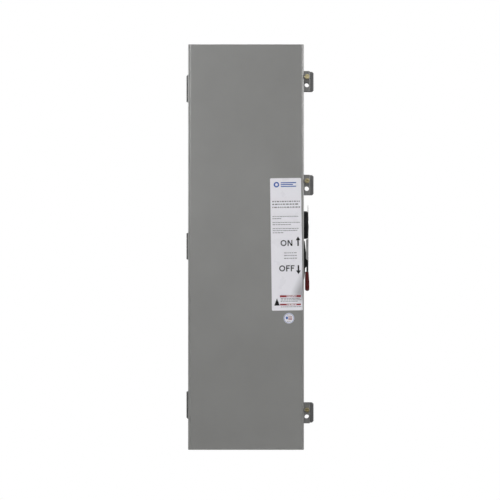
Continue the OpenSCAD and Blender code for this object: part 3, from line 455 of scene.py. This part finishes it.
def label_film():
    """The printed film: a fine grid with round corners and turned-down edges."""
    columns, rows = 72, 60
    half_w, half_h = LABEL_W / 2, LABEL_H / 2
    heights = [2 * j / rows - 1 for j in range(rows + 1)]
    bm = bmesh.new()
    front = []
    for i in range(columns + 1):
        u = -half_w * math.cos(math.pi * i / columns)
        top = film_half_height(u, half_w, half_h, FILM_CORNER)
        front.append([bm.verts.new(on_door(u, top * height, FILM_LIFT)) for height in heights])
    for i in range(columns):
        for j in range(rows):
            bm.faces.new((front[i][j], front[i + 1][j], front[i + 1][j + 1], front[i][j + 1]))
    rim = [e for e in bm.edges if e.is_boundary]
    edge_down = bmesh.ops.extrude_edge_only(bm, edges=rim)
    for vert in (g for g in edge_down["geom"] if isinstance(g, bmesh.types.BMVert)):
        vert.co.y += FILM_LIFT * 0.9
    bmesh.ops.recalc_face_normals(bm, faces=bm.faces)
    # Painted shade beside the grip: a soft darker band on the film
    grip_shade = (label_high.x - 6 * MM, label_mid.z - 94 * MM, math.radians(24), 13 * MM)
    film = printed_film("instruction_vinyl", LABEL_WHITE, wear_and_painted_shade=grip_shade)
    piece = object_from("instruction_label_film", bm, film, "door",
                        smooth_angle=30.0)
    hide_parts("instruction_label")


def ink_piece(name, outlines, colour, place=on_door, lift=INK_LIFT):
    """Thin printed shapes from closed outlines, as points in millimetres from the label's centre."""
    bm = bmesh.new()
    for outline in outlines:
        corners = [bm.verts.new(place(u * MM, v * MM, lift)) for u, v in outline]
        bm.faces.new(corners)
    bmesh.ops.triangulate(bm, faces=bm.faces)
    bmesh.ops.recalc_face_normals(bm, faces=bm.faces)
    for face in bm.faces:
        if face.normal.y > 0 and place is on_door:
            face.normal_flip()
    bm.normal_update()
    return object_from(name, bm, INKS[colour], "door")


def bar(u0, u1, v, height):
    """A printed bar, cut into short lengths so that it can follow a bend."""
    steps = max(1, round((u1 - u0) / 4))
    cuts = [u0 + (u1 - u0) * i / steps for i in range(steps + 1)]
    return [[(a, v - height / 2), (b, v - height / 2), (b, v + height / 2), (a, v + height / 2)]
            for a, b in zip(cuts, cuts[1:])]


def word_line(u0, u1, v, height):
    """A row of short bars of uneven length, standing in for one line of small print."""
    words = []
    u = u0
    while u < u1 - 1.2:
        end = min(u1, u + random.uniform(2.2, 7.0))
        words += bar(u, end, v, height)
        u = end + height * 0.75
    return words


def ring(centre, outer, inner, steps=28):
    """A letter O or a plain ring, as quads between two ellipses."""
    turn = [2 * math.pi * i / steps for i in range(steps + 1)]
    points = [[(centre[0] + r[0] * math.cos(a), centre[1] + r[1] * math.sin(a)) for a in turn]
              for r in (outer, inner)]
    return [[points[0][i], points[0][i + 1], points[1][i + 1], points[1][i]] for i in range(steps)]


def letter_o(u, v, w, h, stroke):
    return ring((u + w / 2, v + h / 2), (w / 2, h / 2), (w / 2 - stroke, h / 2 - stroke))


def letter_n(u, v, w, h, stroke):
    left = bar(u, u + stroke, v + h / 2, h)
    right = bar(u + w - stroke, u + w, v + h / 2, h)
    slope = [(u, v + h), (u + stroke * 1.25, v + h), (u + w, v), (u + w - stroke * 1.25, v)]
    return left + right + [slope]


def letter_f(u, v, w, h, stroke):
    stem = bar(u, u + stroke, v + h / 2, h)
    top = bar(u + stroke, u + w, v + h - stroke / 2, stroke)
    middle = bar(u + stroke, u + w * 0.86, v + h * 0.53, stroke)
    return stem + top + middle


def arrow(u, tail, tip):
    """A straight arrow up or down from tail to tip."""
    head_half, stem_half = 5.5, 1.7
    head_length = 9.0
    neck = tip - math.copysign(head_length, tip - tail)
    head = [(u - head_half, neck), (u + head_half, neck), (u, tip)]
    stem = [(u - stem_half, tail), (u + stem_half, tail), (u + stem_half, neck), (u - stem_half, neck)]
    return [head, stem]


# The label's layout, in millimetres from its centre. A row of small print is its height and right end.
PRINT_LEFT = -32.0
TITLE_ROWS = ((100.6, 33.0), (94.1, 30.5), (87.0, 33.0))
SENTENCE_ROWS = ((65.4, 28.5), (60.5, -11.5), (51.3, 32.5), (46.4, 11.0), (37.0, 30.5), (32.3, 26.0),
                 (27.3, -7.0))
MIDDLE_LEFT, MIDDLE_RIGHT = -6.0, 24.0
MIDDLE_ROWS = (-20.2, -26.4, -32.9)
NOTICE_LEFT, NOTICE_RIGHT = -17.2, 35.8
NOTICE_BARS = ((-121.9, 4.8), (-141.5, 3.8))
NOTICE_TEXT_LEFT = -15.5
NOTICE_ROWS = ((-127.4, 34.0), (-130.6, 34.0), (-133.9, 26.0), (-146.8, 34.0))
PALE_LEFT, PALE_RIGHT = -1.5, 21.5
PALE_ROWS = ((-120.8, 1.4), (-123.1, 1.4), (-141.5, 1.9))
MARK_CENTRE = (-21.5, 140.3)
MARK_OUTER_R, MARK_INNER_R = 6.5, 3.4
MARK_BARS_LEFT, MARK_BAR_H = -11.5, 2.3
MARK_BARS = ((144.6, 24.6), (140.3, 17.0), (136.0, 24.6))
TITLE_H, SENTENCE_H, MIDDLE_H, NOTICE_H = 2.7, 1.5, 1.7, 1.3
CAPITAL_H = 14.2
O_WIDTH, N_WIDTH, F_WIDTH = 14.0, 11.3, 8.8
STROKE = 2.5
ON_FOOT, OFF_FOOT = -4.2, -63.6
ON_O_LEFT, ON_N_LEFT = -13.8, 2.6
OFF_O_LEFT, OFF_F_LEFTS = -17.8, (-1.4, 9.4)
ARROW_U = 27.3
ON_ARROW = (ON_FOOT, 18.1)
OFF_ARROW = (-49.3, -70.7)
TRIANGLE = [(-30.6, -143.6), (-17.8, -143.6), (-24.2, -126.6)]


def label_mark():
    """A plain blue ring with three bars beside it."""
    mark = ring(MARK_CENTRE, (MARK_OUTER_R, MARK_OUTER_R), (MARK_INNER_R, MARK_INNER_R))
    for v, right in MARK_BARS:
        mark += bar(MARK_BARS_LEFT, right, v, MARK_BAR_H)
    ink_piece("label_blue_mark", mark, "blue")


def label_small_print():
    """Rows of short bars where the label has its sentences."""
    small = []
    for v, right in TITLE_ROWS:
        small += word_line(PRINT_LEFT, right, v, TITLE_H)
    for v, right in SENTENCE_ROWS:
        small += word_line(PRINT_LEFT, right, v, SENTENCE_H)
    for v in MIDDLE_ROWS:
        small += word_line(MIDDLE_LEFT, MIDDLE_RIGHT, v, MIDDLE_H)
    for v, right in NOTICE_ROWS:
        small += word_line(NOTICE_TEXT_LEFT, right, v, NOTICE_H)
    ink_piece("label_small_print", small, "grey")


def label_on_off():
    """ON and OFF with the arrows that show which way the handle goes, and a plain triangle."""
    on = letter_o(ON_O_LEFT, ON_FOOT, O_WIDTH, CAPITAL_H, STROKE)
    on += letter_n(ON_N_LEFT, ON_FOOT, N_WIDTH, CAPITAL_H, STROKE)
    off = letter_o(OFF_O_LEFT, OFF_FOOT, O_WIDTH, CAPITAL_H, STROKE)
    for u in OFF_F_LEFTS:
        off += letter_f(u, OFF_FOOT, F_WIDTH, CAPITAL_H, STROKE)
    marks = on + off + arrow(ARROW_U, *ON_ARROW) + arrow(ARROW_U, *OFF_ARROW)
    ink_piece("label_on_off", marks + [TRIANGLE], "black")


def label_notice():
    """Two red bars with pale small print in their middles."""
    notice = []
    for v, height in NOTICE_BARS:
        notice += bar(NOTICE_LEFT, NOTICE_RIGHT, v, height)
    ink_piece("label_notice_bars", notice, "red")
    pale = []
    for v, height in PALE_ROWS:
        pale += word_line(PALE_LEFT, PALE_RIGHT, v, height)
    knocked_out = ink_piece("label_notice_print", pale, "black", lift=INK_LIFT + OVERPRINT_LIFT)
    knocked_out.data.materials[0] = MATERIALS["label_film"]


label_film()
label_mark()
label_small_print()
label_on_off()
label_notice()


# ------------------------------------------------------------------ Round seal and inner label

seal_low, seal_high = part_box("round_seal")
seal_mid = (seal_low + seal_high) / 2


def on_seal(u, v, lift):
    return Vector((seal_mid.x + u, seal_low.y - lift, seal_mid.z + v))


def seal_print():
    """A generic seal: a thin blue rim and a small block of bars."""
    rim_outer, rim_inner = 11.6, 10.7
    rim = ring((0, 0), (rim_outer, rim_outer), (rim_inner, rim_inner), 48)
    ink_piece("seal_rim", rim, "blue", on_seal, THIN_LIFT)
    stripes = []
    for v in (-3.2, 0.0, 3.2):
        stripes += bar(-1.6, 7.4, v, 1.6)
    ink_piece("seal_stripes", stripes, "red", on_seal, THIN_LIFT)
    ink_piece("seal_block", bar(-7.4, -2.4, 0.8, 6.0), "blue", on_seal, THIN_LIFT)
    small = word_line(-5.5, 5.5, 7.6, 1.1) + word_line(-5.0, 5.0, -7.4, 1.1)
    ink_piece("seal_small_print", small, "grey", on_seal, THIN_LIFT)


seal_print()

wiring_low, wiring_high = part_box("wiring_label")
wiring_mid = (wiring_low + wiring_high) / 2


def on_wiring(u, v, lift):
    return Vector((wiring_mid.x + u, wiring_high.y + lift, wiring_mid.z + v))


def wiring_print():
    """A three-pole line diagram and small print, on the label inside the door."""
    half_line = 0.5
    blade_foot, blade_tip = 15, 26
    lines = []
    for pole in (-18.0, 0.0, 18.0):
        for v, length in ((42, 30), (2, 26)):
            lines += bar(pole - half_line, pole + half_line, v, length)
        lines += [[(pole - half_line, blade_foot), (pole + half_line, blade_foot),
                   (pole + 7.5, blade_tip), (pole + 6.3, blade_tip)]]
        for v in (58.6, -12.6):
            lines += ring((pole, v), (2.2, 2.2), (1.3, 1.3), 16)
    lines += bar(-26, 26, 69, 1.0) + bar(-45, 45, -20, 0.8)
    for row in range(9):
        lines += word_line(-42, 42 if row % 3 else 20, -27 - 5 * row, 1.4)
    ink_piece("wiring_print", lines, "black", on_wiring, THIN_LIFT)


wiring_print()


# ------------------------------------------------------------------ Rivets

def dome(bm, centre, axis, r, h):
    """A low round rivet head whose base is at centre and whose crown points along axis."""
    rings, steps = 5, 20
    axis = Vector(axis)
    side = axis.orthogonal().normalized()
    other = axis.cross(side)
    loops = []
    for i in range(rings):
        tilt = math.pi / 2 * i / rings
        loops.append([bm.verts.new(centre + axis * h * math.sin(tilt)
                                   + (side * math.cos(a) + other * math.sin(a)) * r * math.cos(tilt))
                      for a in (2 * math.pi * k / steps for k in range(steps))])
    crown = bm.verts.new(centre + axis * h)
    for low, high in zip(loops, loops[1:]):
        for k in range(steps):
            bm.faces.new((low[k], low[(k + 1) % steps], high[(k + 1) % steps], high[k]))
    for k in range(steps):
        bm.faces.new((loops[-1][k], loops[-1][(k + 1) % steps], crown))
    bm.faces.new(list(reversed(loops[0])))


def hinge_rivets():
    """Three rivets through each leaf of each hinge."""
    shell_low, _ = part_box("box_shell")
    box_leaf_low, box_leaf_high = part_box("hinge_box_leaves")
    door_leaf_low, door_leaf_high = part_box("hinge_door_leaves")
    pin_low, pin_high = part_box("hinge_pins")
    pin_y = (pin_low.y + pin_high.y) / 2
    leaf_half = 30.75 * MM
    leaf_t = 1.9 * MM
    knuckle_half = 4 * MM
    spread = 21 * MM
    rivet_r, rivet_h, sunk = 3.0 * MM, 0.9 * MM, 0.05 * MM
    middle_z = 2.1 * MM
    hinge_zs = (box_leaf_high.z - leaf_half, middle_z, box_leaf_low.z + leaf_half)
    for name, body, x, y in (
        ("box_leaf_rivets", "enclosure", shell_low.x - leaf_t, (pin_y + knuckle_half + box_leaf_high.y) / 2),
        ("door_leaf_rivets", "door", door_low.x - leaf_t, (pin_y - knuckle_half + door_leaf_low.y) / 2),
    ):
        bm = bmesh.new()
        for z in hinge_zs:
            for step in (-1, 0, 1):
                dome(bm, Vector((x + sunk, y, z + step * spread)), (-1, 0, 0), rivet_r, rivet_h)
        bmesh.ops.recalc_face_normals(bm, faces=bm.faces)
        object_from(name, bm, MATERIALS["hinge_steel"], body)


hinge_rivets()


# ------------------------------------------------------------------ Stage, light and camera

VIEW_W = 1.1738          # width of the view at the door's face
VIEW_DISTANCE = 2.5
EYE_X = 0.0094           # the eye is a little right of and below the middle of the box
EYE_Z = -0.0068
FLOOR_DROP = 0.6
FLOOR_R = 1.15


def floor():
    """A round pale floor below the box, which hangs on a wall."""
    low, _ = cad_bounds
    bm = bmesh.new()
    bmesh.ops.create_circle(bm, cap_ends=True, radius=FLOOR_R, segments=128)
    bmesh.ops.translate(bm, verts=bm.verts, vec=(0, 0, low[2] - FLOOR_DROP))
    mesh = bpy.data.meshes.new("floor")
    bm.to_mesh(mesh)
    bm.free()
    n = Nodes("floor_matte")
    n.shade(Base_Color=n.mix(n.noise(6.0), rgba((0.86, 0.86, 0.86)), rgba((0.9, 0.9, 0.9))), Roughness=0.9)
    mesh.materials.append(n.material)
    plane = bpy.data.objects.new("floor", mesh)
    bpy.context.scene.collection.objects.link(plane)


def soft_light(name, place, target, size, power, size_y=None, diffuse=True, gloss=True):
    """An area light that can be left out of the diffuse light or out of the highlights."""
    lamp = bpy.data.lights.new(name, "AREA")
    lamp.shape = "RECTANGLE"
    lamp.size = size
    lamp.size_y = size_y or size
    lamp.energy = power
    light = bpy.data.objects.new(name, lamp)
    light.location = place
    light.rotation_euler = (Vector(target) - Vector(place)).to_track_quat("-Z", "Y").to_euler()
    light.visible_diffuse = diffuse
    light.visible_glossy = gloss
    bpy.context.scene.collection.objects.link(light)


# Brightness of the studio along an axis: axis, from, to, brightness at from, brightness at to
SKY_RAMPS = (("Z", -0.15, 0.16, 0.06, 0.6), ("Z", 0.4, 0.9, 1.0, 0.4), ("Y", -0.95, -0.3, 0.35, 1.0))


def world():
    """White behind the object. All round it, a studio that is bright above and dim below and in front."""
    sky = bpy.data.worlds.new("studio")
    bpy.context.scene.world = sky
    sky.use_nodes = True
    tree = sky.node_tree
    add = tree.nodes.new
    direction = add("ShaderNodeSeparateXYZ")
    tree.links.new(add("ShaderNodeTexCoord").outputs["Generated"], direction.inputs[0])
    ramps = []
    for axis, start, end, first, last in SKY_RAMPS:
        node = add("ShaderNodeMapRange")
        node.inputs["From Min"].default_value = start
        node.inputs["From Max"].default_value = end
        node.inputs["To Min"].default_value = first
        node.inputs["To Max"].default_value = last
        tree.links.new(direction.outputs[axis], node.inputs["Value"])
        ramps.append(node.outputs[0])
    glow = ramps[0]
    for ramp in ramps[1:]:
        product = add("ShaderNodeMath")
        product.operation = "MULTIPLY"
        tree.links.new(glow, product.inputs[0])
        tree.links.new(ramp, product.inputs[1])
        glow = product.outputs[0]
    seen = add("ShaderNodeMapRange")
    seen.inputs["To Max"].default_value = 1.0
    tree.links.new(add("ShaderNodeLightPath").outputs["Is Camera Ray"], seen.inputs["Value"])
    tree.links.new(glow, seen.inputs["To Min"])
    background = tree.nodes["Background"]
    background.inputs["Color"].default_value = (1, 1, 1, 1)
    tree.links.new(seen.outputs[0], background.inputs["Strength"])


def camera():
    low, _ = cad_bounds
    lens = bpy.data.cameras.new("camera")
    lens.sensor_width = 36
    lens.lens = lens.sensor_width * VIEW_DISTANCE / VIEW_W
    eye = bpy.data.objects.new("camera", lens)
    eye.location = (EYE_X, low[1] - VIEW_DISTANCE, EYE_Z)
    eye.rotation_euler = (math.pi / 2, 0, 0)
    bpy.context.scene.collection.objects.link(eye)
    bpy.context.scene.camera = eye


def lights():
    """A large soft light above, a dim fill in front, a strip to each side for the bends, and side lights."""
    soft_light("top_front", (0.1, -1.9, 1.9), (0, -0.18, 0.25), size=1.4, power=20)
    soft_light("front_fill", (0.0, -2.9, 0.0), (0, -0.18, -0.1), size=1.0, power=24, gloss=False)
    soft_light("left_strip", (-0.95, -2.1, 0.95), (-0.13, -0.15, 0.25), size=0.12, size_y=1.2, power=40,
               diffuse=False)
    soft_light("right_strip", (1.6, -1.3, 0.95), (0.14, -0.15, 0.2), size=0.25, size_y=1.2, power=40,
               diffuse=False)
    for name, side in (("left_side", -1), ("right_side", 1)):
        soft_light(name, (2.3 * side, 0.7, 0.8), (0.13 * side, -0.09, 0), size=1.5, power=35)


floor()
world()
camera()
lights()
bpy.context.scene.view_settings.view_transform = "Standard"
